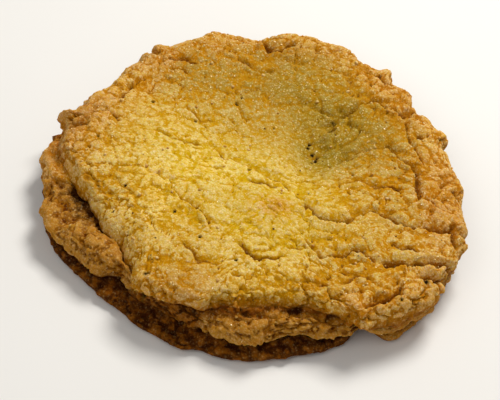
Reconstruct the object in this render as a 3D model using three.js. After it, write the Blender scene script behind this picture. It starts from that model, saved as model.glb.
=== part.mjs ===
// A snickerdoodle: one soft round cookie, sunk in the middle and cracked into plates round it.
// Its top crust has spread over a lower layer, which shows at the front and the left as a
// lobe and a ledge under the crust's edge. The whole cookie is one piece of baked dough, so it is
// one solid. Millimetres, +Z up, resting flat on z = 0, with the front towards -Y.
//
// The skin is a stack of rings. Each ring follows one place of the cookie's section round the
// cookie, and the section changes with the angle. Relief is then added along the skin's normal.

import * as THREE from 'three';

// ---- driving sizes: millimetres, and degrees counted from +X towards +Y ----

const NOMINAL_RADIUS = 40;    // for turning an angle into a length along the edge
const TOP_HEIGHT = 11.4;      // the plateau between the sunken middle and the rim
const FOOT_HEIGHT = 1.7;      // the layer that lay on the tray
const FLAT_INSET = 3.4;       // from the foot's edge in to the flat underside
const FACE_STEP = 1.35;       // the side of one facet
const UNDERSIDE_STEP = 7;     // and of one facet of the flat underside

// Sizes that change round the cookie, as [angle, value] with a smooth course in between. Counted
// from the right side: the back is at 90, the left lobe at 190 to 230, the front hollow at 235 to
// 260 and the front ledge at 262 to 302.
const CRUST_RADIUS = [
  [10, 38.7], [34, 38.6], [50, 39.4], [76, 41.5], [98, 39.2], [118, 38.7], [148, 36.6], [167, 38.5],
  [172, 38.0], [178, 37.0], [188, 34.4], [194, 33.3], [202, 31.5], [208, 30.6], [221, 29.8],
  [231, 31.6], [239, 35.2], [249, 35.7], [258, 34.4], [265, 31.2], [279, 30.4], [291, 31.0],
  [298, 34.2], [306, 39.4], [316, 41.0], [336, 41.0],
];
const CRUST_HEIGHT = [
  [60, 8.6], [150, 8.2], [190, 8.2], [208, 8.9], [245, 8.6], [266, 9.5], [290, 9.5], [306, 8.4],
];
const SHELF_RADIUS = [
  [10, 38.4], [76, 40.0], [100, 38.2], [148, 36.2], [168, 38.2], [180, 40.6], [202, 40.1],
  [222, 37.2], [230, 33.2], [238, 33.4], [258, 33.6], [266, 35.4], [274, 36.5], [288, 34.9],
  [303, 36.8], [315, 40.0], [336, 40.0],
];
const SHELF_HEIGHT = [
  [20, 4.9], [176, 4.9], [188, 5.4], [222, 5.2], [238, 3.9], [258, 3.7], [267, 4.8], [301, 4.8],
];
const FOOT_RADIUS = [
  [10, 37.8], [78, 39.2], [148, 35.8], [167, 38.2], [190, 39.7], [206, 39.1], [224, 37.1],
  [232, 36.6], [244, 37.4], [256, 38.0], [261, 36.8], [269, 37.5], [282, 36.8], [301, 36.2],
  [309, 34.8], [315, 40.0], [324, 39.6],
];
const FOOT_LIFT = [[304, 0], [308, 1.5], [311, 1.4], [314, 0]];   // off the tray

// Under the crust's edge: how far down its underside lies, and how far the skin is bitten in there or,
// below zero, runs out into the lower layer. Then how high that layer's crest stands, and how far the
// skin is bitten in under its edge.
const EDGE_DROP = [
  [20, 2.3], [166, 2.3], [175, 0.8], [188, 0.9], [198, 2.3], [206, 2.2], [213, 1.3], [232, 1.3], [244, 2.3], [260, 2.3],
  [268, 1.4], [298, 1.4], [310, 2.3],
];
const NECK_CUT = [
  [20, 0.7], [165, 0.7], [174, -1.4], [187, -1.3], [195, 1.2], [204, 1.4], [212, -0.3], [231, -0.2], [242, 2.8], [256, 2.8],
  [264, -0.9], [274, -1.7], [292, -1.5], [301, 0], [308, 0.9],
];
const CREST = [
  [166, 0], [175, 0.9], [188, 0.9], [197, 0.5], [206, 0.8], [213, 1.5], [229, 1.5], [238, 0],
  [262, 0], [272, 0.9], [296, 0.8], [306, 0],
];
const WAIST_CUT = [
  [20, 0.6], [180, 0.8], [200, 2.0], [222, 2.1], [236, 0.5], [258, 0.6], [267, 2.7], [300, 2.7],
  [318, 0.8],
];

// Nubs and notches of the outline: how far each reaches out, and half its width along the edge.
const NUBS = [
  { at: 166.5, out: 1.8, half: 0.8 }, { at: 55, out: 2.2, half: 1.1 }, { at: 45, out: 1.4, half: 1.6 },
  { at: 26, out: 1.0, half: 1.6 }, { at: 67, out: 0.7, half: 1.8 }, { at: 89, out: 1.0, half: 2.4 },
  { at: 109, out: 0.8, half: 3.0 }, { at: 127, out: 1.2, half: 1.6 }, { at: 131, out: 1.3, half: 1.4 },
  { at: 97, out: -0.7, half: 1.4 }, { at: 129, out: -1.6, half: 0.9 }, { at: 23, out: -0.9, half: 0.9 },
  { at: 172, out: -0.8, half: 1.8 },
];

// Mounds and hollows of the top: centre, radius and rise.
const SWELLS = [
  { x: 6, y: 11, reach: 14, rise: -3.6 },     // the sunken middle
  { x: 3, y: 6.5, reach: 5.6, rise: 1.7 },    // mound in the middle
  { x: 2.5, y: -9, reach: 7, rise: 0.9 },     // browned mound in front of it
  { x: 10.4, y: 9.2, reach: 3.2, rise: -1.1 },
  { x: 3, y: -3.4, reach: 3, rise: -0.7 },
  { x: -18, y: -3, reach: 10, rise: 0.8 },
  { x: 22, y: 5, reach: 7, rise: 0.9 },
  { x: 20, y: 17, reach: 6, rise: 0.7 },
  { x: 20, y: -14, reach: 6, rise: 0.8 },
  { x: -9, y: -25, reach: 8, rise: 0.6 },
  { x: 4, y: 37, reach: 5, rise: 1.3 },       // raised flake at the back
  { x: -15, y: 33, reach: 6, rise: 0.8 },
  { x: -22.4, y: 18.6, reach: 2.2, rise: -0.9 },
  { x: -27, y: -22, reach: 6, rise: -0.4 },
];

// Cracks and furrows as lines over the top, in order, with the half width and the depth. The plate
// on the right of the line's way stands up at its edge, and the other side slopes down to it.
const PLATE_LIFT = 0.45;
const PLATE_REACH = 3.2;
const CRACKS = [
  { half: 1.7, depth: 2.1, line: [[8, -3], [9.3, -8.4], [12.5, -11.2], [18, -10.2], [21.8, -7.3],
    [28, -9.6], [36, -9], [41, -8]] },
  { half: 1.5, depth: 1.5, line: [[12, 4.5], [17.3, 7.5], [23.2, 10.8], [29, 4.7], [30, -1.4],
    [36, -4.8]] },
  { half: 1.6, depth: 1.7, line: [[11, 14], [14.3, 18.5], [20, 22.5], [26, 20.3], [30, 22]] },
  { half: 1.2, depth: 1.1, line: [[26, 20.3], [27.2, 14.1], [30.3, 6]] },
  { half: 1.4, depth: 1.9, line: [[28.5, 15.5], [33.9, 12.1], [40, 13.5]] },
  { half: 1.5, depth: 1.8, line: [[23.2, -20.4], [29.6, -18.5], [36, -17.6], [41, -17]] },
  { half: 1.3, depth: 1.3, line: [[9.6, -15.3], [12.9, -19.9], [20.2, -17.4], [23.2, -20.1]] },
  { half: 1.5, depth: 1.8, line: [[22, -30], [27.6, -25.6], [27.5, -22.9]] },
  { half: 1.4, depth: 1.4, line: [[30, -21], [34.6, -21], [37, -17.5]] },
  { half: 1.6, depth: 1.6, line: [[-3.7, 37], [-0.7, 32.9], [4.8, 34]] },
  { half: 1.2, depth: 1.1, line: [[8, 34.6], [14, 36]] },
  { half: 1.5, depth: 1.5, line: [[-33, 11.3], [-28.4, 13.7], [-25.2, 18]] },
  { half: 1.4, depth: 1.3, line: [[-36, 7.5], [-31, 9], [-27.4, 7.7]] },
  { half: 1.6, depth: 0.9, line: [[-9.5, 4.8], [-5.7, 2.1], [2.5, -1.5], [8, -3]] },
  { half: 1.4, depth: 0.7, line: [[-20, -5], [-15.2, -8.1], [-8.9, -13.9], [-6, -18]] },
];
// Wide soft troughs: the same, but symmetrical.
const TROUGHS = [
  { half: 4.2, depth: 1.5, line: [[-27, -16], [-23, -20], [-20, -29]] },
  { half: 3.4, depth: 1.1, line: [[9, 19], [10.5, 7], [8.5, -3]] },
];
const CRACK_WANDER = 0.6;        // how far cracks stray from their lines,
const CRACK_WANDER_LENGTH = 3.4; // and over what length

// Lumps all over the skin, as coherent noise of two lengths.
const LUMPS = [
  { length: 8.5, height: 0.42, seed: 11 },
  { length: 3.7, height: 0.22, seed: 12 },
];
const EDGE_CRUMBLE = { length: 4.2, height: 0.7, seed: 13 };   // of the crust's edge and the ledge

// Knobs and pits of the lower layer where it shows: centre, radius and rise.
const KNOBS = [
  { x: -34, y: -9.4, reach: 1.6, rise: 1.3 },
  { x: -36, y: -6.9, reach: 1.4, rise: -1.1 },
  { x: -36.6, y: -12.6, reach: 1.8, rise: 0.7 },
  { x: -33.2, y: -14.6, reach: 1.7, rise: -0.9 },
  { x: -31.4, y: -18.6, reach: 2.2, rise: 0.6 },
  { x: -26.6, y: -21.8, reach: 1.9, rise: 0.7 },
  { x: -1.5, y: -34.6, reach: 2.4, rise: 0.6 },
  { x: 3.8, y: -34.4, reach: 2.6, rise: 0.5 },
  { x: 14.5, y: -32.6, reach: 2.6, rise: 0.6 },
];

// ---- small helpers ----

const DEGREE = Math.PI / 180;
const smooth = (t) => {
  const c = Math.min(1, Math.max(0, t));
  return c * c * (3 - 2 * c);
};
const mix = (a, b, t) => a + (b - a) * t;
const gap = (a, b) => ((a - b + 540) % 360) - 180;   // signed degrees from b to a

// The value that a list of [angle, value] stations has at an angle.
function around(stations, angle) {
  const turn = ((angle % 360) + 360) % 360;
  const count = stations.length;
  let before = count - 1;
  stations.forEach(([at], k) => {
    if (at <= turn) before = k;
  });
  const [at, value] = stations[before];
  const [nextAt, nextValue] = stations[(before + 1) % count];
  const span = (nextAt - at + 360) % 360;
  return mix(value, nextValue, smooth(((turn - at + 360) % 360) / span));
}

// Coherent noise from -1 to 1: hashed lattice values, smoothly mixed.
const HASH = { x: 374761393, y: 668265263, z: 1274126177, seed: 974634777, stir: 1103515245 };

function latticeValue(ix, iy, iz, seed) {
  let h = (Math.imul(ix, HASH.x) + Math.imul(iy, HASH.y) + Math.imul(iz, HASH.z)
    + Math.imul(seed, HASH.seed)) | 0;
  h = Math.imul(h ^ (h >>> 13), HASH.stir);
  h = Math.imul(h ^ (h >>> 16), HASH.z);
  h ^= h >>> 15;
  return (h >>> 0) / 0xffffffff * 2 - 1;
}

function noise(x, y, z, length, seed) {
  const [px, py, pz] = [x / length, y / length, z / length];
  const [ix, iy, iz] = [Math.floor(px), Math.floor(py), Math.floor(pz)];
  const [fx, fy, fz] = [smooth(px - ix), smooth(py - iy), smooth(pz - iz)];
  const at = (dx, dy, dz) => latticeValue(ix + dx, iy + dy, iz + dz, seed);
  const along = (dy, dz) => mix(at(0, dy, dz), at(1, dy, dz), fx);
  return mix(mix(along(0, 0), along(1, 0), fy), mix(along(0, 1), along(1, 1), fy), fz);
}

// ---- the section at one angle ----

function nubs(angle) {
  let out = 0;
  for (const n of NUBS) {
    const along = gap(angle, n.at) * DEGREE * NOMINAL_RADIUS;
    out += n.out * Math.exp(-((along / n.half) ** 2));
  }
  return out;
}

// Unevenness of an edge, the same at both ends of the round.
function crumble(angle, edge) {
  const { length, height, seed } = EDGE_CRUMBLE;
  const x = NOMINAL_RADIUS * Math.cos(angle * DEGREE);
  const y = NOMINAL_RADIUS * Math.sin(angle * DEGREE);
  return height * noise(x, y, 0, length, seed + edge);
}

// Control points [radius, height] of the section, from the top's middle to the underside's middle.
function section(angle) {
  const nub = nubs(angle);
  const crust = around(CRUST_RADIUS, angle) + nub + crumble(angle, 0);
  const crustZ = around(CRUST_HEIGHT, angle) + 0.5 * crumble(angle, 1);
  const underZ = crustZ - around(EDGE_DROP, angle);
  const shelf = around(SHELF_RADIUS, angle) + 0.6 * nub + crumble(angle, 2);
  const shelfZ = around(SHELF_HEIGHT, angle) + 0.5 * crumble(angle, 3);
  const foot = around(FOOT_RADIUS, angle) + 0.4 * nub + 0.6 * crumble(angle, 4);
  const lift = around(FOOT_LIFT, angle);
  const neck = Math.min(crust, shelf) - around(NECK_CUT, angle);
  const waist = Math.min(shelf, foot) - around(WAIST_CUT, angle);
  return [
    [0, TOP_HEIGHT],
    [0.5 * crust, TOP_HEIGHT],
    [crust - 6, TOP_HEIGHT],
    [crust - 1.7, TOP_HEIGHT - 0.5],
    [crust - 0.3, mix(crustZ, TOP_HEIGHT, 0.25)],
    [crust, crustZ - 0.6],
    [mix(crust, neck, 0.45), underZ],
    [neck, underZ - 0.4],
    [mix(neck, shelf, 0.5), mix(underZ - 0.6, shelfZ + 0.9, 0.6) + around(CREST, angle)],
    [shelf - 0.5, shelfZ + 0.6],
    [shelf, shelfZ - 0.6],
    [waist, mix(shelfZ, FOOT_HEIGHT, 0.62)],
    [foot - 0.4, FOOT_HEIGHT + 0.5 + lift],
    [foot, FOOT_HEIGHT - 0.6 + lift],
    [foot - 0.9, 0.1 + lift],
    [foot - FLAT_INSET, 0],
    [0.5 * foot, 0],
    [0, 0],
  ];
}

const LAST = section(0).length - 1;
const CRUST_END = 6;    // control point where the crust's underside begins
const SHELF_TOP = 8;    // control point where the lower layer begins
const SHELF_EDGE = 10;  // control point of the lower layer's edge
const FOOT_END = 14;    // control point where the foot meets the tray

// Quadratic B-spline through the section: u runs from 0 to LAST, one span for each control point.
// Past both ends it goes on as its own mirror image, so that it begins and ends on the axis.
const mirrored = ([radius, height]) => [-radius, height];

function alongSection(points, u) {
  const i = Math.min(LAST, Math.max(0, Math.round(u)));
  const t = u - i + 0.5;
  const before = i > 0 ? points[i - 1] : mirrored(points[1]);
  const after = i < LAST ? points[i + 1] : mirrored(points[LAST - 1]);
  const wBefore = 0.5 * (1 - t) ** 2;
  const wAfter = 0.5 * t ** 2;
  const w = 1 - wBefore - wAfter;
  return [0, 1].map((k) => wBefore * before[k] + w * points[i][k] + wAfter * after[k]);
}

// ---- relief ----

// [distance to a line of points, on which side of its way, share of the way along it]
function nearestOnLine(x, y, line) {
  let best = [Infinity, 1, 0];
  for (let i = 0; i + 1 < line.length; i += 1) {
    const [ax, ay] = line[i];
    const [dx, dy] = [line[i + 1][0] - ax, line[i + 1][1] - ay];
    const t = Math.min(1, Math.max(0, ((x - ax) * dx + (y - ay) * dy) / (dx * dx + dy * dy)));
    const [ex, ey] = [x - ax - t * dx, y - ay - t * dy];
    const distance = Math.hypot(ex, ey);
    const side = dx * ey - dy * ex >= 0 ? 1 : -1;
    if (distance < best[0]) best = [distance, side, (i + t) / (line.length - 1)];
  }
  return best;
}

// Height that a list of mounds and hollows adds at a place.
function mounds(list, x, y) {
  let height = 0;
  for (const m of list) {
    height += m.rise * Math.exp(-(((x - m.x) ** 2 + (y - m.y) ** 2) / m.reach ** 2));
  }
  return height;
}

// How much of the lower layer's relief a place of the section has.
const onShelf = (u) => smooth((u - SHELF_TOP + 0.8) / 0.8) * (1 - smooth((u - SHELF_EDGE) / 0.8));

// The large forms of the top, and the cracks with the raised edges of their plates.
function topRelief(x, y) {
  let height = mounds(SWELLS, x, y);
  for (const t of TROUGHS) {
    height -= t.depth * Math.exp(-((nearestOnLine(x, y, t.line)[0] / t.half) ** 2));
  }
  return height;
}

function crackRelief(x, y) {
  const wx = x + CRACK_WANDER * noise(x, y, 0, CRACK_WANDER_LENGTH, 21);
  const wy = y + CRACK_WANDER * noise(x, y, 0, CRACK_WANDER_LENGTH, 22);
  let deepest = 0;
  let lift = 0;
  for (const c of CRACKS) {
    const [distance, side, share] = nearestOnLine(wx, wy, c.line);
    const ends = smooth(share / 0.15) * smooth((1 - share) / 0.1) * 0.7 + 0.3;
    const half = c.half * (side > 0 ? 1.45 : 0.8);
    deepest = Math.max(deepest, c.depth * ends * smooth(1 - distance / (1.5 * half)));
    if (side < 0) lift = Math.max(lift, ends * smooth(1 - distance / PLATE_REACH));
  }
  return PLATE_LIFT * lift - deepest;
}

// ---- the skin ----

// A point of the skin before the relief that goes along its normal.
function smoothSkin(angle, u) {
  const [radius, height] = alongSection(section(angle), u);
  const x = radius * Math.cos(angle * DEGREE);
  const y = radius * Math.sin(angle * DEGREE);
  const onTop = 1 - smooth((u - CRUST_END) / (SHELF_TOP - CRUST_END));
  return new THREE.Vector3(x, y, height + onTop * topRelief(x, y));
}

// The direction out of the skin, from neighbouring places round the cookie and down its section.
const STEP_ANGLE = 0.4;
const STEP_U = 0.04;

function outward(angle, u) {
  const round = smoothSkin(angle + STEP_ANGLE, u).sub(smoothSkin(angle - STEP_ANGLE, u));
  const down = smoothSkin(angle, u + STEP_U).sub(smoothSkin(angle, Math.max(0, u - STEP_U)));
  const normal = down.cross(round);
  return normal.length() > 0 ? normal.normalize() : normal.set(0, 0, 1);
}

function skin(angle, u) {
  const point = smoothSkin(angle, u);
  const { x, y, z } = point;
  const fade = 1 - smooth((u - (FOOT_END - 2)) / 2);      // the underside stays flat
  if (fade === 0) return point;
  let out = crackRelief(x, y) * (1 - 0.6 * smooth((u - CRUST_END) / 3));
  for (const l of LUMPS) out += l.height * noise(x, y, 2 * z, l.length, l.seed);
  out += onShelf(u) * mounds(KNOBS, x, y);
  point.addScaledVector(outward(angle, u), out * fade);
  point.z = Math.max(point.z, 0);
  return point;
}

// ---- rings of even spacing, and the facets between them ----

// Values of u that lie a facet's side apart, measured on the longest of a few sections.
function ringPlaces() {
  const SAMPLES = 24;
  const FINE = 40;
  const sections = Array.from({ length: SAMPLES }, (_, i) => section(i * 360 / SAMPLES));
  const places = [];
  let travelled = 0;
  for (let u = 1 / FINE; u < LAST; u += 1 / FINE) {
    let radius = 0;
    let longest = 0;
    for (const s of sections) {
      const [r0, z0] = alongSection(s, u - 1 / FINE);
      const [r1, z1] = alongSection(s, u);
      longest = Math.max(longest, Math.hypot(r1 - r0, z1 - z0));
      radius += r1 / SAMPLES;
    }
    travelled += longest;
    const step = u < FOOT_END + 0.5 ? FACE_STEP : UNDERSIDE_STEP;
    if (travelled >= step) {
      places.push({ u, count: Math.max(6, Math.round(2 * Math.PI * radius / step)) });
      travelled = 0;
    }
  }
  return places;
}

function buildSkin() {
  const rings = ringPlaces();
  const positions = [];
  const faces = [];
  const addPoint = (p) => positions.push(p.x, p.y, p.z) / 3 - 1;

  const starts = [];
  rings.forEach(({ u, count }, k) => {
    starts.push(positions.length / 3);
    for (let j = 0; j < count; j += 1) {
      addPoint(skin(360 * (j + (k % 2) / 2) / count, u));
    }
  });

  // Facets between neighbouring rings, always advancing on the ring that lags behind.
  for (let k = 0; k + 1 < rings.length; k += 1) {
    const [a, b] = [rings[k].count, rings[k + 1].count];
    const [offsetA, offsetB] = [(k % 2) / 2, ((k + 1) % 2) / 2];
    let [i, j] = [0, 0];
    while (i < a || j < b) {
      const [pa, pb] = [starts[k] + i % a, starts[k + 1] + j % b];
      const advanceA = j >= b || (i < a && (i + 1 + offsetA) / a <= (j + 1 + offsetB) / b);
      if (advanceA) {
        faces.push(pa, pb, starts[k] + (i + 1) % a);
        i += 1;
      } else {
        faces.push(pa, pb, starts[k + 1] + (j + 1) % b);
        j += 1;
      }
    }
  }

  // The two middles close the skin.
  const top = addPoint(skin(0, 0));
  const under = addPoint(skin(0, LAST));
  const lastRing = rings.length - 1;
  for (let j = 0; j < rings[0].count; j += 1) {
    faces.push(top, starts[0] + j, starts[0] + (j + 1) % rings[0].count);
  }
  for (let j = 0; j < rings[lastRing].count; j += 1) {
    const next = (j + 1) % rings[lastRing].count;
    faces.push(under, starts[lastRing] + next, starts[lastRing] + j);
  }

  const geometry = new THREE.BufferGeometry();
  geometry.setAttribute('position', new THREE.Float32BufferAttribute(positions, 3));
  geometry.setIndex(faces);
  return geometry;
}

// ---- the model ----

function cookie() {
  const geometry = buildSkin();
  geometry.computeBoundingBox();
  const middle = geometry.boundingBox.getCenter(new THREE.Vector3());
  geometry.translate(-middle.x, -middle.y, 0);
  geometry.computeVertexNormals();
  const crust = new THREE.MeshStandardMaterial({ color: 0xd6a450, roughness: 0.85, metalness: 0 });
  const mesh = new THREE.Mesh(geometry, crust);
  mesh.name = 'cookie';
  return mesh;
}

const model = new THREE.Group();
model.add(cookie());

export default model;
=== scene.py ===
import math

import bpy
import numpy as np
from mathutils import Matrix, Vector


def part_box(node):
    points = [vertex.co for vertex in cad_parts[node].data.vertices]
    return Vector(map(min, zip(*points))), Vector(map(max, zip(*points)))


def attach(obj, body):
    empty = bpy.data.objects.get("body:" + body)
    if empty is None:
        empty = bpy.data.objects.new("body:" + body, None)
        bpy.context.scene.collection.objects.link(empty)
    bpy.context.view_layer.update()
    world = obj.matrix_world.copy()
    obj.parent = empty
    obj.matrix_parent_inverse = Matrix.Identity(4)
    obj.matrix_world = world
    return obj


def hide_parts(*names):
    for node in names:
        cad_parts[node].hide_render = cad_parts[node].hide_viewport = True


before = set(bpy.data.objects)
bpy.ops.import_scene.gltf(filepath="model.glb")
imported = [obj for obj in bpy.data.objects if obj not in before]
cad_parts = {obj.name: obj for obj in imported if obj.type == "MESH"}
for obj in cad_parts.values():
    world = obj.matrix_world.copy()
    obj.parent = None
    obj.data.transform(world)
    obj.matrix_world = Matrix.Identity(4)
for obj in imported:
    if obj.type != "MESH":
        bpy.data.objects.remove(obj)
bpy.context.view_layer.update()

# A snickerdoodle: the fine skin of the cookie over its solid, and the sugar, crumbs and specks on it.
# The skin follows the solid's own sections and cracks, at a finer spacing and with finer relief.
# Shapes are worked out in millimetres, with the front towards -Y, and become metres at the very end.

MM = 0.001

# ---- sizes that the solid has too

NOMINAL_RADIUS = 40.0    # for turning an angle into a length along the edge
TOP_HEIGHT = 11.4        # the plateau between the sunken middle and the rim
FOOT_HEIGHT = 1.7        # the layer that lay on the tray
FLAT_INSET = 3.4         # from the foot's edge in to the flat underside

# Sizes that change round the cookie, as (angle, value), smooth in between. Degrees from +X to +Y.
CRUST_RADIUS = (
    (10, 38.7), (34, 38.6), (50, 39.4), (76, 41.5), (98, 39.2), (118, 38.7), (148, 36.6), (167, 38.5),
    (172, 38.0), (178, 37.0), (188, 34.4), (194, 33.3), (202, 31.5), (208, 30.6), (221, 29.8),
    (231, 31.6), (239, 35.2), (249, 35.7), (258, 34.4), (265, 31.2), (279, 30.4), (291, 31.0),
    (298, 34.2), (306, 39.4), (316, 41.0), (336, 41.0),
)
CRUST_HEIGHT = (
    (60, 8.6), (150, 8.2), (190, 8.2), (208, 8.9), (245, 8.6), (266, 9.5), (290, 9.5), (306, 8.4),
)
SHELF_RADIUS = (
    (10, 38.4), (76, 40.0), (100, 38.2), (148, 36.2), (168, 38.2), (180, 40.6), (202, 40.1),
    (222, 37.2), (230, 33.2), (238, 33.4), (258, 33.6), (266, 35.4), (274, 36.5), (288, 34.9),
    (303, 36.8), (315, 40.0), (336, 40.0),
)
SHELF_HEIGHT = (
    (20, 4.9), (176, 4.9), (188, 5.4), (222, 5.2), (238, 3.9), (258, 3.7), (267, 4.8), (301, 4.8),
)
FOOT_RADIUS = (
    (10, 37.8), (78, 39.2), (148, 35.8), (167, 38.2), (190, 39.7), (206, 39.1), (224, 37.1),
    (232, 36.6), (244, 37.4), (256, 38.0), (261, 36.8), (269, 37.5), (282, 36.8), (301, 36.2),
    (309, 34.8), (315, 40.0), (324, 39.6),
)
FOOT_LIFT = ((304, 0), (308, 1.5), (311, 1.4), (314, 0))     # off the tray
# Under the crust's edge: how far down its underside lies, and how far the skin is bitten in there or,
# below zero, runs out into the lower layer. Then how high that layer's crest stands, and how far the
# skin is bitten in under its edge.
EDGE_DROP = (
    (20, 2.3), (166, 2.3), (175, 0.8), (188, 0.9), (198, 2.3), (206, 2.2), (213, 1.3), (232, 1.3),
    (244, 2.3), (260, 2.3), (268, 1.4), (298, 1.4), (310, 2.3),
)
NECK_CUT = (
    (20, 0.7), (165, 0.7), (174, -1.4), (187, -1.3), (195, 1.2), (204, 1.4), (212, -0.3), (231, -0.2),
    (242, 2.8), (256, 2.8), (264, -0.9), (274, -1.7), (292, -1.5), (301, 0), (308, 0.9),
)
CREST = (
    (166, 0), (175, 0.9), (188, 0.9), (197, 0.5), (206, 0.8), (213, 1.5), (229, 1.5), (238, 0),
    (262, 0), (272, 0.9), (296, 0.8), (306, 0),
)
WAIST_CUT = (
    (20, 0.6), (180, 0.8), (200, 2.0), (222, 2.1), (236, 0.5), (258, 0.6), (267, 2.7), (300, 2.7),
    (318, 0.8),
)
# Nubs and notches of the outline: angle, how far out, half the width along the edge.
NUBS = (
    (166.5, 1.8, 0.8), (55, 2.2, 1.1), (45, 1.4, 1.6), (26, 1.0, 1.6), (67, 0.7, 1.8), (89, 1.0, 2.4),
    (109, 0.8, 3.0), (127, 1.2, 1.6), (131, 1.3, 1.4), (97, -0.7, 1.4), (129, -1.6, 0.9),
    (23, -0.9, 0.9), (172, -0.8, 1.8),
)
# Mounds and hollows of the top: x, y, radius and rise.
SWELLS = (
    (6, 11, 14, -3.6), (3, 6.5, 5.6, 1.7), (2.5, -9, 7, 0.9), (10.4, 9.2, 3.2, -1.1), (3, -3.4, 3, -0.7),
    (-18, -3, 10, 0.8), (22, 5, 7, 0.9), (20, 17, 6, 0.7), (20, -14, 6, 0.8), (-9, -25, 8, 0.6),
    (4, 37, 5, 1.3), (-15, 33, 6, 0.8), (-22.4, 18.6, 2.2, -0.9), (-27, -22, 6, -0.4),
)
# The solid's cracks: half width, depth and line. The plate on the right of its way stands up.
PLATE_LIFT = 0.45
PLATE_REACH = 3.2
CRACKS = (
    (1.7, 2.1, ((8, -3), (9.3, -8.4), (12.5, -11.2), (18, -10.2), (21.8, -7.3), (28, -9.6), (36, -9),
                (41, -8))),
    (1.5, 1.5, ((12, 4.5), (17.3, 7.5), (23.2, 10.8), (29, 4.7), (30, -1.4), (36, -4.8))),
    (1.6, 1.7, ((11, 14), (14.3, 18.5), (20, 22.5), (26, 20.3), (30, 22))),
    (1.2, 1.1, ((26, 20.3), (27.2, 14.1), (30.3, 6))),
    (1.4, 1.9, ((28.5, 15.5), (33.9, 12.1), (40, 13.5))),
    (1.5, 1.8, ((23.2, -20.4), (29.6, -18.5), (36, -17.6), (41, -17))),
    (1.3, 1.3, ((9.6, -15.3), (12.9, -19.9), (20.2, -17.4), (23.2, -20.1))),
    (1.5, 1.8, ((22, -30), (27.6, -25.6), (27.5, -22.9))),
    (1.4, 1.4, ((30, -21), (34.6, -21), (37, -17.5))),
    (1.6, 1.6, ((-3.7, 37), (-0.7, 32.9), (4.8, 34))),
    (1.2, 1.1, ((8, 34.6), (14, 36))),
    (1.5, 1.5, ((-33, 11.3), (-28.4, 13.7), (-25.2, 18))),
    (1.4, 1.3, ((-36, 7.5), (-31, 9), (-27.4, 7.7))),
    (1.6, 0.9, ((-9.5, 4.8), (-5.7, 2.1), (2.5, -1.5), (8, -3))),
    (1.4, 0.7, ((-20, -5), (-15.2, -8.1), (-8.9, -13.9), (-6, -18))),
)
# Wide soft troughs: the same, but symmetrical.
TROUGHS = (
    (4.2, 1.5, ((-27, -16), (-23, -20), (-20, -29))),
    (3.4, 1.1, ((9, 19), (10.5, 7), (8.5, -3))),
)
CRACK_WANDER = (0.6, 3.4)      # how far cracks stray from their lines, and over what length
# Lumps all over the skin: length, height, seed and how much faster they change upwards.
LUMPS = ((8.5, 0.42, 11, 2), (3.7, 0.22, 12, 2))
EDGE_CRUMBLE = (4.2, 0.7, 13)  # of the crust's edge and the ledge: length, height and seed
# Knobs and pits of the lower layer: x, y, radius and rise.
KNOBS = (
    (-34, -9.4, 1.6, 1.3), (-36, -6.9, 1.4, -1.1), (-36.6, -12.6, 1.8, 0.7), (-33.2, -14.6, 1.7, -0.9),
    (-31.4, -18.6, 2.2, 0.6), (-26.6, -21.8, 1.9, 0.7), (-1.5, -34.6, 2.4, 0.6), (3.8, -34.4, 2.6, 0.5),
    (14.5, -32.6, 2.6, 0.6),
)

# ---- finer sizes, for this skin alone

TOP_STEP = 0.31          # the side of one facet on the top
SIDE_STEP = 0.385        # on the side
UNDERSIDE_STEP = 0.95    # and on the flat underside

# Finer cracks: half width, depth and line.
FINE_CRACKS = (
    (0.7, 0.8, ((24.9, -14.6), (27.3, -16), (31, -14.5))),
    (0.8, 0.9, ((36, 1.9), (37.9, -0.1), (41, -1.5))),
    (0.8, 0.9, ((36, -4.8), (36.6, -10.2), (37.7, -12.4))),
    (0.7, 0.7, ((27.4, 23.1), (30.8, 21.5), (34, 22.5))),
    (0.7, 0.8, ((-37.5, 3.7), (-33.8, 6.1), (-32.3, 5.9))),
    (0.8, 0.8, ((-20.9, 26.3), (-17.7, 27.2), (-14, 26.2))),
    (0.7, 0.6, ((-20, 23.8), (-17.6, 24), (-15, 22.6))),
    (0.8, 0.6, ((-20.9, 6.3), (-13.9, 3.1), (-10.2, 3.8))),
    (0.7, 0.6, ((-2.1, -3.5), (1.2, -3.4), (4.2, -2.8))),
    (0.7, 0.7, ((15.5, -1), (19.5, 0.5), (23.5, -1.2), (27.6, 0.2))),
    (0.7, 0.6, ((13.5, 9.2), (17.6, 12.8), (19.4, 16.6))),
    (0.7, 0.7, ((4.9, 38.1), (9, 37.5))),
    (0.7, 0.6, ((-7, 30.2), (-3, 27.4), (1.6, 28.4))),
    (0.7, 0.6, ((20.2, 30.1), (24.6, 29))),
    (1.0, 0.4, ((-31, -7), (-27, -10.6), (-22.4, -11.2))),
    (0.7, 0.6, ((-12, -20.6), (-8.4, -24.8), (-3.2, -25.4))),
    (0.7, 0.7, ((-2.2, -19.8), (2.6, -22.4), (7.4, -21.2))),
    (0.7, 0.6, ((16.8, -25.8), (19.4, -22.8), (23.2, -23.4))),
    (0.7, 0.5, ((-15.8, 14.4), (-12, 11.2), (-8.4, 12.2))),
    (0.7, 1.0, ((-3.8, -33.9), (1.9, -32.9), (3.6, -32.6), (5.6, -33.4), (7.2, -34.4), (8, -35))),
    (0.7, 0.9, ((13.2, -29.4), (14.8, -30.6), (17.2, -31.2))),
)
WALL_SHARE = 0.4         # how far a wide crack's wall reaches on the side of its raised plate,
SLOPE_SHARE = 1.5        # and its slope on the other side, as shares of its half width
FISSURE_HALF = 0.42      # the narrow split along the foot of that wall
FISSURE_DEPTH = 0.7
FINE_WANDER = ((0.5, 1.7), (0.26, 0.75))     # how far a crack's own line strays, over what length
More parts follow.
